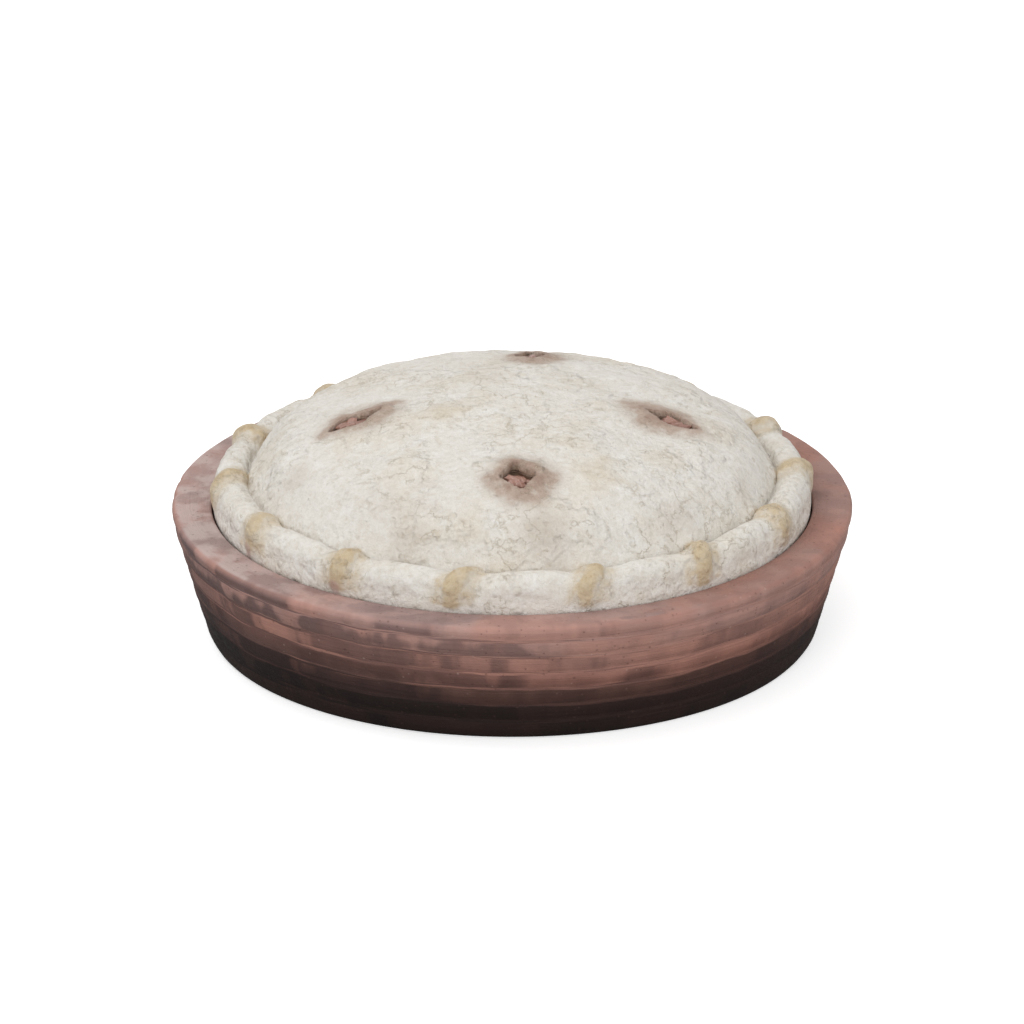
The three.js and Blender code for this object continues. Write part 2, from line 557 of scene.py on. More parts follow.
class SharedEffects:
    """Node groups that several finishes use. Each puts out one mask or height."""

    def __init__(self) -> None:
        """Builds every group once."""
        group = self._group
        self.blotches = group(self._blotches, scale=50.0, detail=3.0, low=0.45, high=0.6)
        self.broken_edge = group(self._broken_edge, mask=0.0, scale=200.0, amount=0.5, soft=0.25)
        self.specks = group(self._specks, scale=300.0, size=0.3, share=0.2)
        self.grain = group(self._grain, scale=400.0, finer=4.0, share=0.4)
        self.bubbles = group(self._bubbles, scale=240.0, share=0.4)
        self.flaking = group(self._flaking, scale=70.0, layers=9.0, edge=0.1)

    @staticmethod
    def _group(lay: Callable[..., Signal], **inputs: float) -> bpy.types.NodeTree:
        """Makes a node group.

        Args:
            lay: lays its nodes from its wiring and its inputs, and returns what it puts out.
            **inputs: its inputs beside the place, and their defaults.

        Returns:
            The group.
        """
        group = bpy.data.node_groups.new(lay.__name__.strip("_"), "ShaderNodeTree")
        face = group.interface
        face.new_socket(name="where", in_out="INPUT", socket_type="NodeSocketVector")
        for key, default in inputs.items():
            socket = face.new_socket(name=key, in_out="INPUT", socket_type="NodeSocketFloat")
            socket.default_value = default
        face.new_socket(name="value", in_out="OUTPUT", socket_type="NodeSocketFloat")
        w = Wiring(group)
        given = w.split(group.nodes.new("NodeGroupInput"))
        result = lay(w, **dict(zip(("where", *inputs), given)))
        group.links.new(result.socket, group.nodes.new("NodeGroupOutput").inputs[0])
        return group

    @staticmethod
    def _blotches(
        w: Wiring, where: Signal, scale: Signal, detail: Signal, low: Signal, high: Signal
    ) -> Signal:
        """Soft, uneven blotches."""
        return w.step(w.noise(where, scale, detail, 0.55), low, high)

    @staticmethod
    def _broken_edge(
        w: Wiring, where: Signal, mask: Signal, scale: Signal, amount: Signal, soft: Signal
    ) -> Signal:
        """A painted mask whose edge is broken up by noise.

        Args:
            w: the group's wiring.
            where: the place it is read at.
            mask: the painted mask.
            scale: of the noise.
            amount: how far the noise moves the edge.
            soft: half the width of the soft edge.

        Returns:
            The mask.
        """
        swing = (w.noise(where, scale, 4.0, 0.6) - 0.5) * amount
        weak = swing * (mask * 4.0)
        held = w.math("MAXIMUM", w.math("MINIMUM", weak, 1.0), -1.0)
        return w.step(mask + held, 0.5 - soft, soft + 0.5)

    @staticmethod
    def _specks(w: Wiring, where: Signal, scale: Signal, size: Signal, share: Signal) -> Signal:
        """Small scattered specks of uneven size.

        Args:
            w: the group's wiring.
            where: the place it is read at.
            scale: of the cells that may hold a speck.
            size: of the largest speck.
            share: of the cells that hold one.

        Returns:
            The specks' mask.
        """
        away, tint, *_ = w.split(w.node("TexVoronoi", {"Vector": where, "Scale": scale}))
        drawn, size_drawn, _ = w.split(w.node("SeparateColor", {0: tint}))
        inside = 1.0 - w.step(away, 0.0, size * size_drawn)
        return inside * w.math("LESS_THAN", drawn, share)

    @staticmethod
    def _grain(w: Wiring, where: Signal, scale: Signal, finer: Signal, share: Signal) -> Signal:
        """Height of a fine, uneven grain in two layers."""
        return w.noise(where, scale, 4.0) + w.noise(where, scale * finer, 3.0) * share

    @staticmethod
    def _bubbles(w: Wiring, where: Signal, scale: Signal, share: Signal) -> Signal:
        """Small baked bubbles of uneven size.

        Args:
            w: the group's wiring.
            where: the place it is read at.
            scale: of the cells that may hold a bubble.
            share: of the cells that hold one.

        Returns:
            Their height, 1 at the top of the tallest.
        """
        away, tint, *_ = w.split(w.node("TexVoronoi", {"Vector": where, "Scale": scale}))
        drawn, size_drawn, _ = w.split(w.node("SeparateColor", {0: tint}))
        size = 0.16 + size_drawn * 0.3
        ratio = away / size
        cap = w.math("MAXIMUM", 1.0 - ratio * ratio, 0.0)
        tall = w.math("LESS_THAN", drawn, share) * (size * 2.2)
        return w.math("POWER", cap, 1.4) * tall

    @staticmethod
    def _flaking(
        w: Wiring, where: Signal, scale: Signal, layers: Signal, edge: Signal
    ) -> Signal:
        """Height of thin layers that end in broken steps, 1 a layer."""
        level = w.noise(where, scale, 7.0, 0.62) * layers
        return w.stair(level, 0.5 - edge, edge + 0.5)


# ------------------------------------------------------------------ finishes


def new_material(name: str) -> tuple[bpy.types.Material, Wiring]:
    """Makes an empty material.

    Args:
        name: what it is called.

    Returns:
        The material and the wiring of its nodes.
    """
    material = bpy.data.materials.new(name)
    material.use_nodes = True
    return material, Wiring(material.node_tree)


def put_out(
    w: Wiring, colour: Signal, rough: Signal, normal: Signal, **constants: float
) -> None:
    """Ends a material with a Principled BSDF.

    Args:
        w: the material's wiring.
        colour: its base colour.
        rough: its roughness.
        normal: its bumped normal.
        **constants: the shader's other inputs, with _ for a space.
    """
    sockets = {"Base Color": colour, "Roughness": rough, "Normal": normal}
    sockets |= {key.replace("_", " "): value for key, value in constants.items()}
    w.node("OutputMaterial", {"Surface": w.signal("BsdfPrincipled", sockets)})


@dataclass(frozen=True)
class ClayFinish:
    """Unglazed, hand-thrown earthenware, darker towards the foot: partly its own smoked tone,
    partly painted shade.

    Attributes:
        fx: the shared node groups.
        tones: heights and the clay's colour there, from the foot to the flat rim; the near-black
            tones low down are partly painted shade.
        red: where it was fired hotter.
        ruddy_and_shade: what the fire took from the light on the side that stood nearest to it, and
            painted shade on the right side of the dish.
        smoke_and_shade: what smoking leaves of the light in a dulled patch, and painted shade at
            the far left of the wall.
        ash_and_painted_light: where pale ashes settled on the rim, with painted light on its left
            side.
        pale: rubbed edges and chalky specks.
        dark: grog and wiping streaks.
    """

    fx: SharedEffects
    # The near-black tones towards the foot are partly painted shade.
    tones: tuple[tuple[float, str], ...] = (
        (0, "2b1a16"), (12.4, "2f1d19"), (13.8, "4b332e"), (19.4, "553a33"), (20.6, "795850"),
        (24.3, "80594f"), (25.8, "a3766a"), (34, "a87e72"), (36, "ae877c"), (41, "b48e85"),
        (46.4, "b8948b"), (47.2, "ae918a"),
    )
    red: Colour = srgb("b98676")
    ruddy_and_shade: Colour = (0.84, 0.74, 0.69, 1)
    smoke_and_shade: Colour = (0.37, 0.39, 0.43, 1)
    ash_and_painted_light: Colour = srgb("c3b2ad")
    pale: Colour = srgb("c9aea6")
    dark: Colour = srgb("4b332d")

    def build(self) -> bpy.types.Material:
        """Builds the material."""
        material, w = new_material("fired_clay")
        fx = self.fx
        where = w.place()
        x, y, height = w.split(w.node("SeparateXYZ", {0: where}))

        # Smoke, and the painted shade of the dark lower band, reach higher on the left of the dish
        # than on the right.
        left = 1.0 - w.step(x, -0.105, 0.06)
        front = 1.0 - w.step(y, -0.07, 0.03)
        smoked = left * (front * 0.75 + 0.25)
        upper = w.step(height, 37 * MM, 41 * MM)
        under_rim = 1.0 - w.step(height, 44.5 * MM, 46.5 * MM)
        smoky = 0.54 - smoked * 0.16 + upper * 0.05

        # The throwing rings each took the fire in patches of their own.
        drift = (w.noise(w.place(22, 22, 5), 1.0, 4.0) - 0.5) * (5 * MM)
        level = height + drift
        stair = w.stair(level / Dish.ring_pitch + 0.5, 0.36, 0.64)
        on_ring = w.combine(x * 30.0, y * 30.0, stair * 1.9)
        aside = w.signal("VectorMath", {0: on_ring, 1: (31.7, 11.3, 5.9)}, operation="ADD")
        hot = w.use(fx.blotches, on_ring, scale=1.0, detail=3.0, low=0.42, high=0.62)
        dull = w.use(fx.blotches, aside, scale=1.2, detail=3.5, low=smoky, high=smoky + 0.07)
        faint = w.use(fx.blotches, aside, scale=2.7, detail=4.0, low=0.42, high=0.6)
        wiped = w.place(26, 26, 380)
        streaks = w.use(fx.blotches, wiped, scale=1.0, detail=5.0, low=0.42, high=0.7)

        # The tones follow the rings, darken towards the foot partly as painted shade, and climb
        # where the clay was smoked.
        reach = (smoked * (1.5 * MM) - 0.5 * MM) * under_rim
        stepped = (stair - 0.5) * Dish.ring_pitch
        banded = w.blend(under_rim, height, stepped * 0.55 + level * 0.45)
        tone_at = (banded - reach) / DISH_HEIGHT
        colour = self._toned(w, tone_at)

        burnt = w.step(tone_at, 0.3, 0.55)
        colour = w.blend(hot * burnt * 0.55, colour, self.red)
        dulled = dull * (smoked * 0.48 + 0.42) * (under_rim * 0.55 + 0.45)
        for share in (dulled, faint * 0.24, streaks * 0.18):
            colour = w.dim(share, colour, self.smoke_and_shade)
        # The right side is darkened and reddened: partly fired tone, partly painted shade on the
        # side away from the key light.
        low = 1.0 - w.step(height, 24 * MM, 26.5 * MM)
        kept = (1.0 - upper) * 0.15 + 0.55
        reddened_and_shaded = 0.9 - under_rim * kept + low * 0.35
        colour = w.dim(w.step(x, 0.0, 0.1) * reddened_and_shaded, colour, self.ruddy_and_shade)
        # Painted shade along the far left of the wall, under the rim.
        outermost = 1.0 - w.step(x, -0.115, -0.093)
        colour = w.dim(outermost * under_rim * 0.45, colour, self.smoke_and_shade)

        # The left of the rim is paler: partly settled ashes, partly painted light where the key
        # light falls.
        far_left = 1.0 - w.step(x, -0.105, -0.045)
        on_rim = w.step(height, 46.2 * MM, 46.9 * MM)
        colour = w.blend(far_left * on_rim * (0.7 - faint * 0.5), colour, self.ash_and_painted_light)
        grog = w.use(fx.specks, where, scale=640.0, size=0.5, share=0.3)
        colour = w.blend(grog * 0.5, colour, self.dark)
        chalk = w.use(fx.specks, w.place(1.1, 0.9, 1), scale=520.0, size=0.4, share=0.14)
        colour = w.blend(chalk * burnt * 0.4, colour, self.pale)
        rubbed = w.step(w.signal("NewGeometry", out="Pointiness"), 0.515, 0.57)
        colour = w.blend(rubbed * burnt * 0.3, colour, self.pale)

        # Wiping lines run round the wall and the rim, and grog stands proud of them.
        radius = w.signal("VectorMath", {0: w.combine(x, y)}, "Value", operation="LENGTH")
        lines = w.noise(w.combine(x * 14.0, y * 14.0, (radius + height) * 850.0), 1.0, 4.0)
        grain = w.use(fx.grain, where, scale=620.0, finer=3.0, share=0.5)
        bump = w.bump(lines * 0.8 + grain * 0.55 - grog * 0.3, 0.8, 0.6 * MM)
        put_out(w, colour, grain * 0.12 + 0.6, bump, Specular_IOR_Level=0.3)
        return material

    def _toned(self, w: Wiring, tone_at: Signal) -> Signal:
        """Colours the clay by height; the darkening towards the foot is partly painted shade.

        Args:
            w: the material's wiring.
            tone_at: the height, as a share of the dish's.

        Returns:
            The clay's tone there.
        """
        node = w.node("ValToRGB", {0: tone_at})
        stops = node.color_ramp.elements
        while len(stops) < len(self.tones):
            stops.new(0.5)
        for stop, (height, code) in zip(stops, self.tones):
            stop.position = height * MM / DISH_HEIGHT
            stop.color = srgb(code)
        return Signal(w, node.outputs[0])


@dataclass(frozen=True)
class PastryFinish:
    """Pale baked shortcrust: floury and matte, gold on the pinches, stained at the vents.

    Attributes:
        fx: the shared node groups.
        cream: the pastry.
        butter: warmer, more buttery places.
        flour: floury bloom.
        tan: where high spots began to colour.
        gold: toasted crests.
        brown: the most toasted spots.
        soaked: pastry soaked by juices round the vents.
        wet: the same close to the vent.
        beige: faint toasted patches.
        rose: where pink juice ran over the edge.
        hollow_shade: painted shade in small hollows and pores, as what they leave of the light.
        deep: painted shade in the grain's deepest places, as what they leave of the light.
        inside: the crumb that shows in a cut.
    """

    fx: SharedEffects
    cream: Colour = srgb("ebe7e0")
    butter: Colour = srgb("e3d9c9")
    flour: Colour = srgb("f2f1ed")
    tan: Colour = srgb("d9cbb2")
    gold: Colour = srgb("d3bf9e")
    brown: Colour = srgb("ab8b5c")
    soaked: Colour = srgb("beaa9c")
    wet: Colour = srgb("977868")
    beige: Colour = srgb("cdc2b6")
    rose: Colour = srgb("c4a79f")
    hollow_shade: Colour = (0.84, 0.79, 0.72, 1)
    deep: Colour = (0.72, 0.66, 0.58, 1)
    inside: Colour = srgb("c6a887")

    def build(self) -> bpy.types.Material:
        """Builds the material."""
        material, w = new_material("baked_shortcrust")
        fx = self.fx
        where = w.place()

        def blotches(scale: float, detail: float, low: float, high: float) -> Signal:
            """Blotches all over the pastry."""
            return w.use(fx.blotches, where, scale=scale, detail=detail, low=low, high=high)

        def broken(mask: Signal, scale: float, amount: float, soft: float) -> Signal:
            """A painted mask with a broken edge."""
            return w.use(fx.broken_edge, where, mask=mask, scale=scale, amount=amount, soft=soft)

        butter = blotches(36.0, 5.0, 0.44, 0.68)
        bloom = blotches(110.0, 5.0, 0.5, 0.7)
        stain = w.painted(Mask.STAIN)
        toasted = w.painted(Mask.TOAST)
        toast = broken(toasted * 0.85, 250.0, 0.9, 0.3)
        darkest = blotches(340.0, 4.0, 0.48, 0.7) * w.step(toasted, 0.6, 1.0)
        soaked = broken(stain, 130.0, 0.75, 0.26) * (0.95 - bloom * 0.25)

        # Thin layers show where the pastry is cut or torn.
        cut = w.painted(Mask.CUT)
        layered = w.step(w.noise(w.place(60, 60, 1500), 1.0, 3.0), 0.4, 0.6)
        crumb = w.blend(layered * 0.55, self.inside, self.soaked)

        # The top layers bake into thin flakes and small bubbles, here and there.
        grain = w.use(fx.grain, where, scale=480.0, finer=3.2, share=0.55)
        ruffle = w.noise(where, 250.0, 7.0, 0.66)
        flaky = blotches(40.0, 4.0, 0.46, 0.56)
        flakes = w.use(fx.flaking, where, scale=56.0, layers=7.0, edge=0.08)
        part = w.math("FRACT", flakes)
        lip = part * (1.0 - part) * 4.0
        bubbly = blotches(52.0, 3.0, 0.46, 0.56)
        bubbles = w.use(fx.bubbles, where, scale=220.0, share=0.5) * bubbly
        small = w.use(fx.bubbles, w.place(1.1, 1, 1), scale=430.0, share=0.3)
        pores = w.use(fx.specks, w.place(1, 1.2, 1), scale=330.0, size=0.5, share=0.3)
        flecks = w.use(fx.specks, where, scale=240.0, size=0.2, share=0.2)

        colour = self.cream
        for share, coat in (
            (butter * 0.6, self.butter),
            (bloom * 0.55, self.flour),
            (broken(w.painted(Mask.HIGH), 150.0, 0.5, 0.5) * 0.4, self.tan),
            (broken(w.painted(Mask.BLUSH), 120.0, 0.4, 0.45) * 0.7, self.beige),
            (broken(stain * 1.8, 120.0, 0.3, 0.5) * 0.6, self.beige),
            (soaked, self.soaked),
            (broken(stain * 0.52, 210.0, 0.6, 0.2) * 0.6, self.wet),
            (broken(toasted, 130.0, 0.55, 0.5) * 0.9, self.tan),
            (toast * 0.85, self.gold),
            (darkest * 0.5, self.brown),
            (broken(w.painted(Mask.ROSE), 260.0, 0.4, 0.4) * 0.7, self.rose),
            (cut * 0.75, crumb),
            (flecks * 0.5, self.gold),
        ):
            colour = w.blend(share, colour, coat)
        white = (1, 1, 1, 1)
        # Painted shade in the low places of the grain.
        colour = w.dim(0.35, colour, w.blend(w.step(grain, 0.5, 1.0), self.deep, white))
        # Painted shade in the hollows of the relief.
        hollow_shade_share = 1.0 - w.step(ruffle, 0.3, 0.48)
        colour = w.dim(hollow_shade_share * 0.5, colour, self.hollow_shade)
        colour = w.blend(lip * flaky * 0.55, colour, self.tan)
        colour = w.blend(bubbles * 0.25, colour, self.tan)
        # Painted shade in the pores.
        colour = w.dim(pores * 0.4, colour, self.hollow_shade)

        raised = grain * 0.3 + ruffle * 1.5 + flakes * flaky * 0.3 + bubbles * 0.9
        bump = w.bump(raised + small * 0.35 - pores * 0.35 + layered * cut * 0.8, 1.0, 1.0 * MM)
        rough = bloom * 0.2 + butter * -0.12 + 0.56 - toast * 0.14
        put_out(w, colour, rough, bump, Specular_IOR_Level=0.3)
        return material


@dataclass(frozen=True)
class SalmonFinish:
    """Moist flaked salmon and its sauce.

    Attributes:
        fx: the shared node groups.
        flesh: the fish.
        seam: the pale lines between its layers.
        brown: edges that caught the heat.
        sauce: the sauce between the flakes.
    """

    fx: SharedEffects
    flesh: Colour = srgb("a57b6c")
    seam: Colour = srgb("c6a294")
    brown: Colour = srgb("7f584c")
    sauce: Colour = srgb("916b5b")

    def build(self, flaked: bool) -> bpy.types.Material:
        """Builds the material of the flakes, or that of the sauce.

        Args:
            flaked: True for the flakes, with their layers.

        Returns:
            The material.
        """
        material, w = new_material("flaked_salmon" if flaked else "salmon_sauce")
        where = w.place()
        patch = w.use(self.fx.blotches, where, scale=160.0, detail=4.0, low=0.4, high=0.62)
        colour = w.blend(patch * 0.6, self.flesh if flaked else self.sauce, self.brown)
        grain = w.use(self.fx.grain, where, scale=500.0, finer=3.0, share=0.4)
        height = grain
        if flaked:
            wave = w.math("SINE", w.painted(Mask.LAYER) * 17.0 + grain * 2.0)
            colour = w.blend(w.step(wave, 0.45, 0.95) * 0.4, colour, self.seam)
            height = grain * 0.5 + wave * 0.4
        bump = w.bump(height, 0.6, 0.25 * MM)
        put_out(w, colour, patch * 0.2 + 0.24, bump, Coat_Weight=0.25, Coat_Roughness=0.15)
        return material


# ------------------------------------------------------------------ the dish


@dataclass
class Dish:
    """The hand-thrown dish: flared wall with throwing rings, flat bare rim, plain foot.

    Attributes:
        lip_band: height of the smooth band under the rim.
        rings: throwing rings below it.
        ring_pitch: height of a ring and its share of the foot's edge.
        swell: how far a ring stands proud.
        foot_edge: radius of the worn edge of the foot.
        rim_edge: radius of the rim's outer edge.
        mouth_edge: radius of its inner edge.
        columns: steps round the dish.
        seed: of its small irregularities.
    """

    lip_band: float = 5.6 * MM
    rings: int = 6
    ring_pitch: float = (DISH_HEIGHT - lip_band) / rings
    swell: float = 0.6 * MM
    foot_edge: float = 1.6 * MM
    rim_edge: float = 2.4 * MM
    mouth_edge: float = 1.2 * MM
    columns: int = 300
    seed: int = 3

    def wall(self, height: float) -> float:
        """Distance of the bare wall from the axis at a height."""
        flare = (RIM_RADIUS - FOOT_RADIUS) / (DISH_HEIGHT - self.rim_edge)
        return FOOT_RADIUS + flare * height

    @staticmethod
    def rounding(corner: Point, size: Point, turns: Sequence[float]) -> list[Point]:
        """Points of a rounded corner.

        Args:
            corner: the corner itself, as distance from the axis and height.
            size: its radius along both, less than 0 where the rounding lies on that side.
            turns: how far round each point lies, in degrees.

        Returns:
            The points, from beside the corner to over or under it.
        """
        angles = [math.radians(turn) for turn in turns]
        return [(corner[0] + size[0] * (1 - math.cos(a)), corner[1] + size[1] * (1 - math.sin(a)))
                for a in angles]

    def outline(self) -> list[Point]:
        """The whole section, from the middle of the foot round to the middle of the floor."""
        rng = random.Random(self.seed)
        flat = FOOT_RADIUS - self.foot_edge
        points = [(share * flat, 0.0) for share in (0, 0.3, 0.6, 0.85, 0.96, 1)]
        foot = (-self.foot_edge, self.foot_edge)
        points += self.rounding((FOOT_RADIUS, 0), foot, (60, 30))
        top = DISH_HEIGHT - self.lip_band
        ring_height = (top - self.foot_edge) / self.rings
        steps = 9
        for ring in range(self.rings):
            swell = self.swell * rng.uniform(0.7, 1.25)
            peak = rng.uniform(0.42, 0.58)
            for share in (i / steps for i in range(steps)):
                height = self.foot_edge + (ring + share) * ring_height
                bulge = 1 - abs((share - peak) / (peak if share < peak else 1 - peak)) ** 2.2
                points.append((self.wall(height) + swell * (bulge - 0.35), height))
        for share in (0, 0.3, 0.6, 1):
            height = top + share * (self.lip_band - self.rim_edge)
            points.append((self.wall(height) - 0.35 * self.swell * (1 - share), height))
        rim = (-self.rim_edge, -self.rim_edge)
        points += self.rounding((RIM_RADIUS, DISH_HEIGHT), rim, range(15, 91, 15))
        start, end = RIM_RADIUS - self.rim_edge, MOUTH_RADIUS + self.mouth_edge
        columns = 12
        points += [(start + (end - start) * i / columns, DISH_HEIGHT)
                   for i in range(1, columns + 1)]
        mouth = (self.mouth_edge, -self.mouth_edge)
        points += self.rounding((MOUTH_RADIUS, DISH_HEIGHT), mouth, (60, 30, 0))
        floor = DISH_FLOOR - FIT_GAP
        points += [(MOUTH_RADIUS, SHELF), (CAVITY_RADIUS + 1.5 * MM, floor + 5 * MM),
                   (CAVITY_RADIUS, floor + 1.5 * MM), (CAVITY_RADIUS - 6 * MM, floor), (0, floor)]
        return points

    def build(self, material: bpy.types.Material) -> None:
        """Turns the dish and works over its surface.

        Args:
            material: the clay's finish.
        """
        dish = turn_outline("clay_dish", self.outline(), self.columns)
        _, away, height = polar(places(dish))
        outside = smoothstep(away, MOUTH_RADIUS + 1 * MM, MOUTH_RADIUS + 4 * MM)
        wall = np.maximum(outside, smoothstep(away, 104 * MM, 106 * MM) * (height < SHELF))
        weigh(dish, "seen", wall * smoothstep(height, 0.0, 3 * MM))
        Relief("hand_wobble", 45 * MM, 1.0 * MM).press(dish, "seen")
        Relief("finger_marks", 9 * MM, 0.35 * MM, 3).press(dish, "seen")
        Relief("grog", 2.2 * MM, 0.14 * MM, 1).press(dish, "seen")
        self._chip(dish)
        finish_piece(dish, "dish", material)

    def _chip(self, dish: bpy.types.Object) -> None:
        """Adds small dents and pits to the wall and rim.

        Args:
            dish: the turned dish.
        """
        rng = random.Random(self.seed)
        chips = 26
        for _ in range(chips):
            angle = rng.uniform(-math.pi, math.pi)
            on_wall = rng.uniform(8 * MM, 42 * MM)
            height = rng.choice((DISH_HEIGHT, DISH_HEIGHT - 1 * MM, on_wall))
            away = min(self.wall(height), RIM_RADIUS - 1 * MM)
            spot = np.array(on_circle(angle, away, height))
            chosen = np.linalg.norm(places(dish) - spot, axis=1) < 1.3 * MM
            nudge(dish, chosen, rng.uniform(2, 4) * MM, out=-rng.uniform(0.15, 0.45) * MM)


# ------------------------------------------------------------------ the pastry


@dataclass(frozen=True)
class Vent:
    """A steam vent: a torn, soft-cornered diamond through the pastry. Angles in degrees.

    Attributes:
        name: where it is.
        away: distance of its middle from the axis.
        round: its angle from the front.
        long: its longer diagonal.
        wide: its shorter diagonal.
        turn: how far the longer one is turned away from the radius.
        stain: how far juices soaked the pastry round it.
        depth: how strong that stain is.
        soaked_to: the direction of its strongest side, from the front.
    """

    name: str
    away: float
    round: float
    long: float
    wide: float
    turn: float
    stain: float
    depth: float
    soaked_to: float

    @property
    def place(self) -> Matrix:
        """Carries the vent's own frame, long axis along +X, to its place at height 0."""
        spot = on_circle(math.radians(self.round), self.away)
        long = math.radians(self.round - 90 + self.turn)
        return Matrix.Translation(spot) @ Matrix.Rotation(long, 4, "Z")

    def outside(self, spots: np.ndarray) -> np.ndarray:
        """How far places lie outside the vent's outline.

        Args:
            spots: the places.

        Returns:
            The distances, less than 0 inside it.
        """
        back = np.array(self.place.inverted())
        local = (spots @ back[:3, :3].T + back[:3, 3])[:, :2]
        power = 1.35  # 1 would be a diamond and 2 an oval
        along, across = np.abs(2 * local / (self.long, self.wide)).T ** power
        reach = np.maximum((along + across) ** (1 / power), 1e-6)
        return (reach - 1) * np.hypot(*local.T) / reach

    def soak(self, spots: np.ndarray) -> np.ndarray:
        """How strongly juices soaked the pastry round the vent.

        Args:
            spots: the places.

        Returns:
            The stain's strength at each.
        """
        middle = self.place.translation
        aside = np.arctan2(spots[:, 0] - middle.x, middle.y - spots[:, 1])
        lean = 0.5 + 0.5 * np.cos(aside - math.radians(self.soaked_to))
        fade = 1 - smoothstep(self.outside(spots), -1 * MM, self.stain * (0.85 + 0.4 * lean))
        return self.depth * (0.55 + 0.45 * lean**0.7) * fade


VENTS = (
    Vent("front", 58 * MM, 2, 17 * MM, 13.5 * MM, 8, 14 * MM, 1.0, 35),
    Vent("right", 56.5 * MM, 84.5, 22 * MM, 10 * MM, -22, 15 * MM, 0.95, -100),
    Vent("back", 57 * MM, 173.5, 21 * MM, 11 * MM, 10, 14 * MM, 0.9, 60),
    Vent("left", 56 * MM, -84, 23 * MM, 10 * MM, 26, 14 * MM, 0.9, 120),
)


@dataclass(frozen=True)
class Patch:
    """A faint toasted patch on the dome.

    Attributes:
        away: distance of its middle from the axis.
        round: its angle from the front, in degrees.
        deep: half its size along the radius.
        broad: half its size across the radius.
        strength: from 0 to 1.
    """

    away: float
    round: float
    deep: float
    broad: float
    strength: float

    def shade(self, spots: np.ndarray) -> np.ndarray:
        """How strong the patch is.

        Args:
            spots: the places.

        Returns:
            Its strength at each.
        """
        angle, away, _ = polar(spots)
        turned = np.angle(np.exp(1j * (angle - math.radians(self.round))))
        reach = ((away - self.away) / self.deep) ** 2 + (turned * self.away / self.broad) ** 2
        return self.strength * np.exp(-reach)


PATCHES = (
    Patch(83 * MM, 8, 9 * MM, 11 * MM, 0.85),
    Patch(90 * MM, 11, 6 * MM, 9 * MM, 0.5),
    Patch(79 * MM, -30, 14 * MM, 26 * MM, 0.45),
    Patch(66 * MM, -27, 5 * MM, 8 * MM, 0.45),
    Patch(88 * MM, -25, 6 * MM, 10 * MM, 0.7),
    Patch(82 * MM, -66, 7 * MM, 8 * MM, 0.6),
    Patch(90 * MM, -68, 5 * MM, 14 * MM, 0.35),
    Patch(85 * MM, 42, 6 * MM, 13 * MM, 0.55),
    Patch(88 * MM, 70, 6 * MM, 12 * MM, 0.4),
    Patch(22 * MM, -160, 10 * MM, 14 * MM, 0.35),
    Patch(84 * MM, 118, 8 * MM, 16 * MM, 0.5),
    Patch(80 * MM, 152, 7 * MM, 10 * MM, 0.45),
    Patch(86 * MM, -140, 8 * MM, 18 * MM, 0.55),
    Patch(70 * MM, -118, 6 * MM, 9 * MM, 0.4),
)


@dataclass
class Roll:
    """The rolled edge's section: an oval tube tucked inside the rim.

    Attributes:
        width: half its width.
        rise: half its height.
        radius: distance of its middle from the axis.
        height: of its middle.
        valley: angle on the section where the dome comes down to it.
    """

    width: float = 6.4 * MM
    rise: float = 6.8 * MM
    radius: float = LID_RADIUS - width
    height: float = DISH_HEIGHT + 6 * MM
    valley: float = math.radians(159)

    @classmethod
    def point(cls, angle: float) -> Point:
        """A point of the section. 0 is outermost and 90 degrees is the crest."""
        return (cls.radius + cls.width * math.cos(angle), cls.height + cls.rise * math.sin(angle))

    @classmethod
    def section(cls, spots: np.ndarray) -> np.ndarray:
        """Angle of places on the section."""
        _, away, height = polar(spots)
        return np.arctan2((height - cls.height) / cls.rise, (away - cls.radius) / cls.width)


@dataclass(frozen=True)
class Pinch:
    """One thumb-and-finger pinch across the rolled edge.

    Attributes:
        index: which one, counted from the front towards +X.
        strength: how hard it was pinched.
        shift: how far it lies beside its even place.
        lean: how far its ridge runs sideways from the dome side to the dish side.
        bow: how far the ridge's middle bows sideways.
        toast: how much it browned.
    """

    index: int
    strength: float
    shift: float
    lean: float
    bow: float
    toast: float

    @property
    def angle(self) -> float:
        """Its angle from the front."""
        return FIRST_CRIMP + self.index * math.tau / CRIMPS

    def aside(self, spots: np.ndarray) -> np.ndarray:
        """How far places lie beside the ridge, along the edge.

        Args:
            spots: the places.

        Returns:
            The distances, less than 0 on the side towards -X in front.
        """
        angle, away, _ = polar(spots)
        turned = np.angle(np.exp(1j * (angle - self.angle)))
        over = np.clip((away - Roll.radius) / Roll.width, -1.6, 1.2)
        ridge = self.shift + self.lean * over / 2 + self.bow * (1 - over**2)
        return LID_RADIUS * turned - ridge


def all_pinches(seed: int) -> tuple[Pinch, ...]:
    """The pinches in order: given one by one in front, where the photograph shows them.

    Args:
        seed: for how the rest differ.

    Returns:
        The pinches.
    """
    shown = {
        0: (1.0, 0.0, -2.5, 3.2, 0.9),
        1: (1.1, 0.3, -5.0, 1.0, 1.0),
        2: (0.95, 0.0, -3.0, 1.6, 0.8),
        11: (0.9, 0.0, 3.0, -1.2, 0.75),
        12: (1.1, 0.4, 1.0, 0.4, 1.0),
        13: (1.05, 1.2, -7.0, 0.0, 0.95),
    }
    rng = random.Random(seed)
    spans = ((0.85, 1.2), (-1, 1), (-7, 7), (-1.5, 1.5), (0.75, 1.0))
    pinches = []
    for index in range(CRIMPS):
        drawn = [rng.uniform(*span) for span in spans]
        strength, shift, lean, bow, toast = shown.get(index, drawn)
        pinches.append(Pinch(index, strength, shift * MM, lean * MM, bow * MM, toast))
    return tuple(pinches)


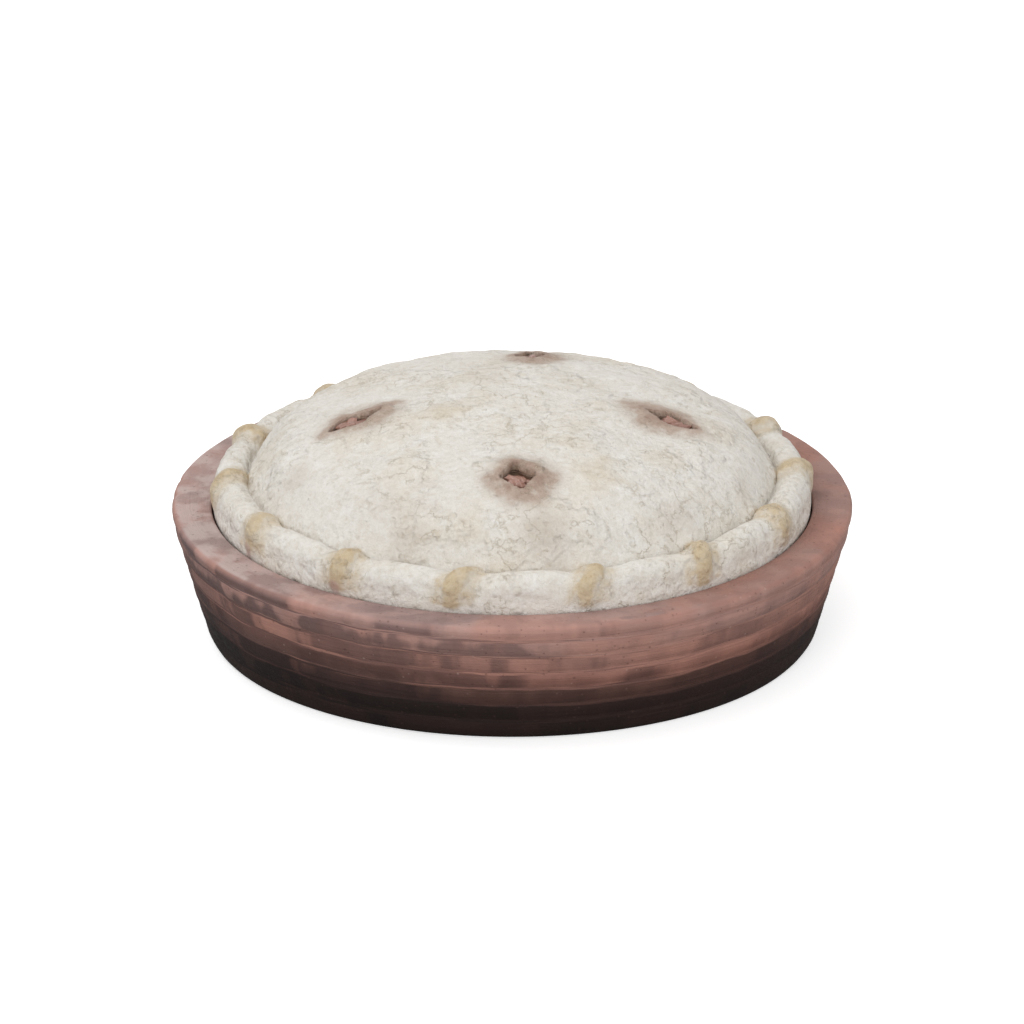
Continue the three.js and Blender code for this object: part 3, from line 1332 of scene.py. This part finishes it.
@dataclass(frozen=True)
class Stroke:
    """One push along a line across the roll, the same at every pinch.

    Attributes:
        aside: distance of the line from the ridge.
        half: half the width of the line.
        start: where it starts on the roll's section, in degrees. 0 is outermost.
        end: where it ends. 90 degrees is the crest and 180 the dome side.
        reach: how far round it the pastry follows.
        out: how far it pushes outwards.
    """

    aside: float
    half: float
    start: float
    end: float
    reach: float
    out: float


STROKES = (
    Stroke(0, 1.4 * MM, -14, 150, 4.8 * MM, 1.15 * MM),
    Stroke(0, 2.0 * MM, 28, 84, 4.4 * MM, 0.55 * MM),
    Stroke(0.8 * MM, 0.4 * MM, 8, 138, 2.2 * MM, 0.45 * MM),
    Stroke(-9.6 * MM, 1.2 * MM, 12, 112, 5.0 * MM, -0.95 * MM),
    Stroke(9.6 * MM, 1.2 * MM, 12, 112, 5.0 * MM, -0.85 * MM),
    Stroke(-4.4 * MM, 0.3 * MM, 10, 130, 1.5 * MM, -0.55 * MM),
    Stroke(4.9 * MM, 0.3 * MM, 0, 118, 1.5 * MM, -0.5 * MM),
)


@dataclass
class PastryLid:
    """The lid in one piece: dome, valley, rolled and pinched edge, tucked hem, four vents.

    Attributes:
        spacing: of the rings of vertices on the dome.
        edge_spacing: the same on the rolled edge.
        edge_columns: steps from one pinch to the next.
        edge_from: distance from the axis where the finer edge begins.
        slack: how far the roll draws in between two pinches.
        lip: height of the torn edge round a vent.
        blisters: how many small ones the dome has.
        seed: of their places.
        pinches: the pinches of the edge.
    """

    spacing: float = 1.15 * MM
    edge_spacing: float = 0.72 * MM
    edge_columns: int = 56
    edge_from: float = 84 * MM
    slack: float = 0.8 * MM
    lip: float = 1.0 * MM
    blisters: int = 34
    seed: int = 5
    pinches: tuple[Pinch, ...] = all_pinches(11)

    def dome(self, depth: float = 0) -> list[Point]:
        """The dome's line from the axis to the valley, or the same line sunk by a depth.

        Args:
            depth: how far below the top surface it lies.

        Returns:
            Closely spaced points, as distance from the axis and height.
        """
        inset = 0.85 * depth / CRUST * MM
        valley = Roll.point(Roll.valley)
        drops = ((0, 0, 0), (34, 2.3, 0), (65.5, 8.6, 1), (80.5, 14.6, 3), (88.2, 22.4, 4.5))
        knots = [Vector((a * MM - share * inset, DOME_TOP - drop * MM - depth))
                 for a, drop, share in drops]
        knots.append(Vector((valley[0] - 5 * inset, valley[1] - depth)))
        padded = [knots[0], *knots, knots[-1]]
        steps = 30
        points = []
        for before, start, end, after in zip(padded, padded[1:], padded[2:], padded[3:]):
            for t in (i / steps for i in range(steps)):
                points.append(0.5 * (2 * start + (end - before) * t
                                     + (2 * before - 5 * start + 4 * end - after) * t**2
                                     + (3 * start - before - 3 * end + after) * t**3))
        points.append(knots[-1])
        return [(p.x, p.y) for p in points]

    def height_at(self, away: np.ndarray | float) -> np.ndarray:
        """Height of the dome's top at distances from the axis."""
        return np.interp(away, *np.array(self.dome()).T)

    def on_top(self, spots: np.ndarray, depth: float = 3 * MM) -> np.ndarray:
        """Which places lie less than a depth below the dome's even top."""
        _, away, height = polar(spots)
        return height > self.height_at(away) - depth

    @staticmethod
    def along(line: Sequence[Point], spacing: float) -> list[Point]:
        """Points at even spacing along a line, with both its ends.

        Args:
            line: closely spaced points.
            spacing: the distance wanted between them.

        Returns:
            The evenly spaced points.
        """
        raw = np.array(line)
        run = np.concatenate(([0], np.cumsum(np.hypot(*np.diff(raw, axis=0).T))))
        stops = np.linspace(0, run[-1], max(2, round(run[-1] / spacing) + 1))
        return list(zip(np.interp(stops, run, raw[:, 0]), np.interp(stops, run, raw[:, 1])))

    def edge_outline(self) -> list[Point]:
        """The section from the dome's shoulder over the roll and down the hem."""
        shoulder = [p for p in self.dome() if p[0] >= self.edge_from]
        shoulder.insert(0, (self.edge_from, float(self.height_at(self.edge_from))))
        steps = 60
        roll = [Roll.point(Roll.valley * (1 - i / steps)) for i in range(1, steps + 1)]
        hem = [(LID_RADIUS, DISH_HEIGHT + 1 * MM), (LID_RADIUS - 0.3 * MM, SHELF + 1.5 * MM),
               (LID_RADIUS - 2 * MM, SHELF)]
        return self.along([*shoulder, *roll, *hem], self.edge_spacing)

    def wedge(self, pinch: Pinch) -> bpy.types.Object:
        """Makes the edge from half way before a pinch to half way after it, and pinches it.

        Args:
            pinch: the pinch in its middle.

        Returns:
            The wedge as a mesh object.
        """
        pitch = math.tau / CRIMPS
        start = pinch.angle - pitch / 2
        name = f"wedge_{pinch.index}"
        piece = turn_outline(name, self.edge_outline(), self.edge_columns, start, pitch)
        for stroke in STROKES:
            spots = places(piece)
            turn = np.degrees(Roll.section(spots))
            _, away, height = polar(spots)
            on_line = np.abs(pinch.aside(spots) - stroke.aside) < stroke.half
            on_line &= (turn > stroke.start) & (turn < stroke.end)
            on_line &= (away > 92 * MM) & (height > DISH_HEIGHT + 1.5 * MM)
            nudge(piece, on_line, stroke.reach, out=stroke.out * pinch.strength)
        return piece

    def build(self, material: bpy.types.Material) -> None:
        """Models, cuts and paints the lid.

        Args:
            material: the pastry's finish.
        """
        edge = join([self.wedge(pinch) for pinch in self.pinches], "pastry_crust")
        tidy(edge)
        lid = self._add_underside(self._add_dome(edge))
        self._draw_in(lid)
        self._ruffle(lid)
        for vent in VENTS:
            self._cut(lid, vent)
        self._blister(lid)
        self._paint(lid)
        finish_piece(lid, "pastry_lid", material)

    def _add_dome(self, edge: bpy.types.Object) -> bpy.types.Object:
        """Adds the dome inside the edge, in zones with more columns further out.

        Args:
            edge: the pinched edge.

        Returns:
            The edge and dome in one object.
        """
        zones = ((0, 8, 49), (8, 17, 98), (17, 36, 196), (36, self.edge_from / MM, 392))
        pieces, joints = [edge], []
        last = None
        for start, end, columns in zones:
            first = start * MM + (self.spacing if last else 0)
            stop = end * MM - (self.spacing if end * MM == self.edge_from else 0)
            steps = np.linspace(first, stop, round((stop - first) / self.spacing) + 1)
            outline = [(away, float(self.height_at(away))) for away in steps]
            pieces.append(turn_outline(f"dome_{end:.0f}", outline, columns))
            if last:
                joints.append((last, outline[0]))
            last = outline[-1]
        joints.append((last, self.edge_outline()[0]))
        lid = join(pieces, edge.name)
        for inner, outer in joints:
            bridge(lid, inner, outer)
        return lid

    def _add_underside(self, lid: bpy.types.Object) -> bpy.types.Object:
        """Closes the lid with its hidden underside.

        Args:
            lid: the edge and dome.

        Returns:
            The closed lid.
        """
        under = self.along(self.dome(CRUST)[::-1], 5 * MM)
        level = SHELF + 1 * MM
        under = [(LID_RADIUS - 3.4 * MM, level), (under[0][0] + 1.5 * MM, level + 0.3 * MM), *under]
        lid = join([lid, turn_outline("underside", under, 196)], lid.name)
        bridge(lid, self.edge_outline()[-1], under[0])
        tidy(lid)
        return lid

    def _draw_in(self, lid: bpy.types.Object) -> None:
        """Lets the roll draw in half way between two pinches.

        Args:
            lid: the closed lid.
        """
        spots = places(lid)
        angle, away, height = polar(spots)
        share = smoothstep(away, 93 * MM, 97 * MM)
        share = share * smoothstep(height, DISH_HEIGHT + 1 * MM, DISH_HEIGHT + 5 * MM)
        halfway = 0.5 - 0.5 * np.cos((angle - FIRST_CRIMP) * CRIMPS)
        spots[:, :2] *= (1 - self.slack * halfway * share / np.maximum(away, MM))[:, None]
        lid.data.vertices.foreach_set("co", spots.ravel())
        lid.data.update()

    def _ruffle(self, lid: bpy.types.Object) -> None:
        """Makes the hand-laid pastry uneven.

        Args:
            lid: the closed lid.
        """
        spots = places(lid)
        _, away, height = polar(spots)
        free = self.on_top(spots) | (away > 92 * MM)
        free = free * smoothstep(height, DISH_HEIGHT + 0.5 * MM, DISH_HEIGHT + 6 * MM)
        weigh(lid, "dome", free * (1 - smoothstep(away, self.edge_from, 94 * MM)))
        weigh(lid, "free", free)
        Relief("drape", 40 * MM, 4.5 * MM, 1).press(lid, "dome")
        Relief("filling_below", 15 * MM, 1.8 * MM).press(lid, "dome")
        Relief("lumps", 8 * MM, 0.9 * MM).press(lid, "free")
        Relief("dough", 3.4 * MM, 0.42 * MM).press(lid, "free")

    def _cut(self, lid: bpy.types.Object, vent: Vent) -> None:
        """Raises and cuts one vent, and softens its torn edge.

        Args:
            lid: the lid.
            vent: what to cut.
        """
        spots = places(lid)
        pick(lid, (vent.outside(spots) < 7 * MM) & self.on_top(spots))
        with editing(lid):
            bpy.ops.mesh.subdivide(number_cuts=1)
        spots = places(lid)
        raised = np.abs(vent.outside(spots) - 0.6 * MM) < 0.6 * MM
        nudge(lid, raised & self.on_top(spots), 4.2 * MM, up=self.lip)

        top = float(self.height_at(vent.away))
        below, above = 12 * MM, 6 * MM
        select()
        bpy.ops.mesh.primitive_circle_add(vertices=4, radius=1, fill_type="NGON")
        cutter = bpy.context.object
        with editing(cutter, everything=True):
            bpy.ops.transform.resize(value=(vent.long / 2, vent.wide / 2, 1))
            bpy.ops.mesh.bevel(offset=0.11 * vent.long, segments=4, affect="VERTICES")
            bpy.ops.mesh.select_all(action="SELECT")
            bpy.ops.mesh.subdivide(number_cuts=4, fractal=1.0, seed=int(vent.away / MM))
            bpy.ops.transform.translate(value=(0, 0, top - below))
            bpy.ops.transform.resize(value=(0.97, 0.97, 1), center_override=(0, 0, 0))
            up = {"value": (0, 0, below + above)}
            bpy.ops.mesh.extrude_region_move(TRANSFORM_OT_translate=up)
            bpy.ops.transform.resize(value=(1.12, 1.12, 0), center_override=(0, 0, top + above))
            bpy.ops.mesh.select_all(action="SELECT")
            bpy.ops.mesh.normals_make_consistent(inside=False)
        cutter.data.transform(vent.place)
        apply_modifier(lid, "BOOLEAN", object=cutter, operation="DIFFERENCE", solver="MANIFOLD")
        bpy.data.objects.remove(cutter)

        spots = places(lid)
        torn = np.abs(vent.outside(spots)) < 1.6 * MM
        pick(lid, torn & self.on_top(spots, 1.6 * MM))
        with editing(lid):
            bpy.ops.mesh.vertices_smooth(factor=0.5, repeat=3)
        log.info("%s vent cut, %.1f by %.1f mm", vent.name, vent.long / MM, vent.wide / MM)

    def _blister(self, lid: bpy.types.Object) -> None:
        """Raises small baked blisters here and there.

        Args:
            lid: the cut lid.
        """
        rng = random.Random(self.seed)
        with editing(lid):
            shape = bmesh.from_edit_mesh(lid.data)
            for _ in range(self.blisters):
                away = 88 * MM * math.sqrt(rng.uniform(0.02, 1))
                angle = rng.uniform(-math.pi, math.pi)
                spot = Vector(on_circle(angle, away, float(self.height_at(away))))
                size = rng.uniform(1.8, 4.2) * MM
                for vertex in shape.verts:
                    vertex.select = (vertex.co - spot).length < 0.4 * size
                shape.select_flush_mode()
                bpy.ops.transform.translate(
                    value=(0, 0, 0.16 * size), use_proportional_edit=True,
                    proportional_edit_falloff="SPHERE", proportional_size=size)

    def _paint(self, lid: bpy.types.Object) -> None:
        """Stores where the pastry is toasted, stained, blushed, rosy, high or cut.

        Args:
            lid: the cut lid.
        """
        spots = places(lid)
        _, away, height = polar(spots)
        turn = np.degrees(Roll.section(spots))
        top = self.height_at(away)
        on_dome = away < DOME_RADIUS
        on_roll = smoothstep(away, 91 * MM, 94 * MM)
        upper = smoothstep(height, DISH_HEIGHT + 0.5 * MM, DISH_HEIGHT + 5 * MM)
        crown = on_roll * upper * (0.75 + 0.25 * np.cos(np.radians(turn - 60)))
        foot = on_roll * smoothstep(height, DISH_HEIGHT - 0.5 * MM, DISH_HEIGHT + 2.5 * MM)
        shown = np.maximum(crown, 0.8 * foot)
        below = 1 - smoothstep(height, DISH_HEIGHT + 3 * MM, DISH_HEIGHT + 7 * MM)
        masks = {mask: np.zeros(len(spots)) for mask in Mask if mask is not Mask.LAYER}

        def coat(mask: Mask, values: np.ndarray) -> None:
            """Strengthens a mask to these values where it is weaker."""
            masks[mask] = np.maximum(masks[mask], values)

        for pinch in self.pinches:
            aside = pinch.aside(spots)
            half = (4.4 + 1.8 * np.exp(-(((turn - 48) / 42) ** 2))) * MM
            band = 1 - smoothstep(np.abs(aside) / half, 0.3, 1.15)
            sides = 1 - smoothstep(np.abs(aside), 6 * MM, 13 * MM)
            sides = sides * on_roll * smoothstep(upper, 0, 0.5)
            coat(Mask.TOAST, pinch.toast * band * shown)
            coat(Mask.TOAST, 0.46 * sides)
            coat(Mask.BLUSH, 0.35 * sides)
            if pinch.index in (11, 12):
                run = np.exp(-(((aside + 1.0 * MM) / (2.4 * MM)) ** 2))
                coat(Mask.ROSE, run * on_roll * below * (turn > -80))
        for vent in VENTS:
            outside = vent.outside(spots)
            coat(Mask.STAIN, vent.soak(spots) * on_dome)
            masks[Mask.STAIN] += 0.5 * np.exp(-np.maximum(outside, 0) / (1.5 * MM)) * on_dome
            coat(Mask.CUT, (outside < 0.5 * MM) & (height < top - 1.4 * MM) & on_dome)
        for patch in PATCHES:
            coat(Mask.BLUSH, patch.shade(spots))
        inner = 1 - smoothstep(away, self.edge_from, 92 * MM)
        coat(Mask.HIGH, smoothstep(height - top, 0.2 * MM, 1.6 * MM) * inner)
        for mask, values in masks.items():
            paint(lid, mask, values)


# ------------------------------------------------------------------ the filling


@dataclass
class Filling:
    """The salmon filling: all of it under the lid, with flakes that fill the vents.

    Attributes:
        lid: the pastry over it.
        flakes: in each vent.
        seed: of the flakes' places.
    """

    lid: PastryLid
    flakes: int = 26
    seed: int = 7

    def build(self, sauce: bpy.types.Material, fish: bpy.types.Material) -> None:
        """Makes the body of the filling and its flakes.

        Args:
            sauce: the finish of the body.
            fish: the finish of the flakes.
        """
        finish_piece(self._body(), "filling", sauce)
        rng = random.Random(self.seed)
        flakes = [self._flake(vent, rng) for vent in VENTS for _ in range(self.flakes)]
        finish_piece(join(flakes, "salmon_flakes"), "", fish)

    def _body(self) -> bpy.types.Object:
        """Turns the filling's body and swells it in the vents."""
        under = PastryLid.along(self.lid.dome(CRUST + FIT_GAP)[::-1], 2.2 * MM)
        top = SHELF - FIT_GAP
        outline = [(0, DISH_FLOOR), (CAVITY_RADIUS - 6.5 * MM, DISH_FLOOR),
                   (CAVITY_RADIUS + 0.7 * MM, DISH_FLOOR + 5 * MM),
                   (MOUTH_RADIUS - 2 * FIT_GAP, top), (under[0][0], top), *under[1:]]
        body = turn_outline("salmon_filling", outline, 168)
        for vent in VENTS:
            spots = places(body)
            inside = (vent.outside(spots) < -2.5 * MM) & (spots[:, 2] > SHELF)
            nudge(body, inside, 3.6 * MM, up=2.4 * MM)
        return body

    def _flake(self, vent: Vent, rng: random.Random) -> bpy.types.Object:
        """Makes one curved, layered flake of fish inside a vent.

        Args:
            vent: the vent that shows it.
            rng: the source of its size and place.

        Returns:
            The flake as a mesh object.
        """
        select()
        bpy.ops.mesh.primitive_ico_sphere_add(subdivisions=4, radius=0.5)
        flake = bpy.context.object
        size = Vector((rng.uniform(6, 10), rng.uniform(3, 5.2), rng.uniform(1.4, 2.2))) * MM
        x, y, _ = places(flake).T
        paint(flake, Mask.LAYER, y + 0.5 + 0.3 * x**2)
        with editing(flake, everything=True):
            bpy.ops.transform.resize(value=size)
            for side in (-1, 1):
                cut = Vector((side * rng.uniform(0.24, 0.42) * size.x, 0, 0))
                bpy.ops.mesh.select_all(action="SELECT")
                bpy.ops.mesh.bisect(plane_co=cut, plane_no=(side, rng.uniform(-0.6, 0.6), 0.5),
                                    use_fill=True, clear_outer=True)
            bpy.ops.mesh.select_all(action="SELECT")
            bpy.ops.transform.vertex_random(offset=0.07 * MM, seed=rng.randrange(99))
            bpy.ops.mesh.vertices_smooth(factor=0.5, repeat=1)
        ends = np.abs(places(flake)[:, 1]) > 0.4 * size.y
        nudge(flake, ends, 0.45 * size.y, up=-rng.uniform(0.3, 1.1) * MM)
        spread = math.sqrt(rng.uniform(0, 1)) * 0.62
        angle = rng.uniform(-math.pi, math.pi)
        along = 0.5 * (vent.long - 0.5 * size.x) * spread * math.cos(angle)
        across = 0.5 * (vent.wide - 0.5 * size.y) * spread * math.sin(angle)
        under_crust = float(self.lid.height_at(vent.away)) - CRUST
        rise = rng.uniform(1.2, 4.3) * MM * (1 - 0.35 * spread)
        roll = Matrix.Rotation(rng.uniform(-0.3, 0.3), 4, "Y")
        tilt = roll @ Matrix.Rotation(rng.uniform(0.1, 0.7), 4, "X")
        spin = Matrix.Rotation(0.5 + rng.uniform(-0.7, 0.7), 4, "Z")
        slope = Matrix.Rotation(math.radians(9), 4, "Y")
        spot = Matrix.Translation((along, across, under_crust + rise))
        flake.data.transform(vent.place @ spot @ slope @ spin @ tilt)
        return flake


# ------------------------------------------------------------------ the studio


@dataclass
class Studio:
    """A pale floor, soft light and the photograph's camera.

    Attributes:
        elevation: of the camera above the horizon, in degrees.
        view_width: width of the view.
        aim: height that the camera looks at, over the middle of the foot.
        distance: of the camera.
        lights: each light's name, place, width and strength.
        sky: strength of the pale sky.
    """

    elevation: float = 21.7
    view_width: float = 0.3613
    aim: float = 43.6 * MM
    distance: float = 1.5
    lights: tuple[tuple[str, tuple[float, float, float], float, float], ...] = (
        ("key", (-0.8, 0.3, 1.4), 1.1, 7.0),
        ("front", (-0.3, -1.7, 0.6), 1.0, 7.2),
        ("fill", (1.3, -0.5, 0.8), 1.2, 2.8),
    )
    sky: float = 0.73

    def build(self) -> None:
        """Makes the camera, floor and lights."""
        self._camera()
        self._floor()
        self._lights()
        bpy.context.scene.view_settings.view_transform = "Standard"

    def _camera(self) -> None:
        """Looks along +Y, down on the pie, without perspective."""
        rise = math.radians(self.elevation)
        spot = Vector((0, -math.cos(rise), math.sin(rise))) * self.distance
        select()
        bpy.ops.object.camera_add(location=spot + Vector((0, 0, self.aim)),
                                  rotation=(math.pi / 2 - rise, 0, 0))
        camera = bpy.context.object
        camera.name = "photo_camera"
        camera.data.type = "ORTHO"
        camera.data.ortho_scale = self.view_width
        bpy.context.scene.camera = camera

    def _floor(self) -> None:
        """Lays a floor that looks white and throws little light back."""
        select()
        bpy.ops.mesh.primitive_plane_add(size=8)
        floor = bpy.context.object
        floor.name = "pale_floor"
        material, w = new_material("pale_floor")
        seen = w.signal("BsdfPrincipled", {
            "Base Color": (0.9, 0.9, 0.9, 1), "Roughness": 0.9, "Specular IOR Level": 0.1,
            "Emission Color": (1, 1, 1, 1), "Emission Strength": 0.5})
        felt = w.signal("BsdfDiffuse", {"Color": (0.45, 0.45, 0.45, 1)})
        by_camera = w.signal("LightPath", out="Is Camera Ray")
        mix = w.signal("MixShader", {0: by_camera, 1: felt, 2: seen})
        w.node("OutputMaterial", {"Surface": mix})
        floor.data.materials.append(material)

    def _lights(self) -> None:
        """Hangs a soft key light high on the left, two lower ones, and a pale sky."""
        for name, spot, size, watts in self.lights:
            select()
            bpy.ops.object.light_add(type="AREA", location=spot)
            light = bpy.context.object
            light.name = f"{name}_light"
            light.data.shape = "DISK"
            light.data.size = size
            light.data.energy = watts
            light.rotation_euler = (-Vector(spot)).to_track_quat("-Z", "Y").to_euler()
            light.visible_camera = False
        world = bpy.data.worlds.new("studio")
        world.use_nodes = True
        background = world.node_tree.nodes["Background"]
        background.inputs["Color"].default_value = (1, 1, 1, 1)
        background.inputs["Strength"].default_value = self.sky
        bpy.context.scene.world = world


def main() -> None:
    """Builds the pie and its studio."""
    logging.basicConfig(level=logging.INFO, format="%(message)s")
    Studio().build()
    effects = SharedEffects()
    Dish().build(ClayFinish(effects).build())
    lid = PastryLid()
    lid.build(PastryFinish(effects).build())
    salmon = SalmonFinish(effects)
    Filling(lid).build(salmon.build(flaked=False), salmon.build(flaked=True))


if __name__ == "__main__":
    main()
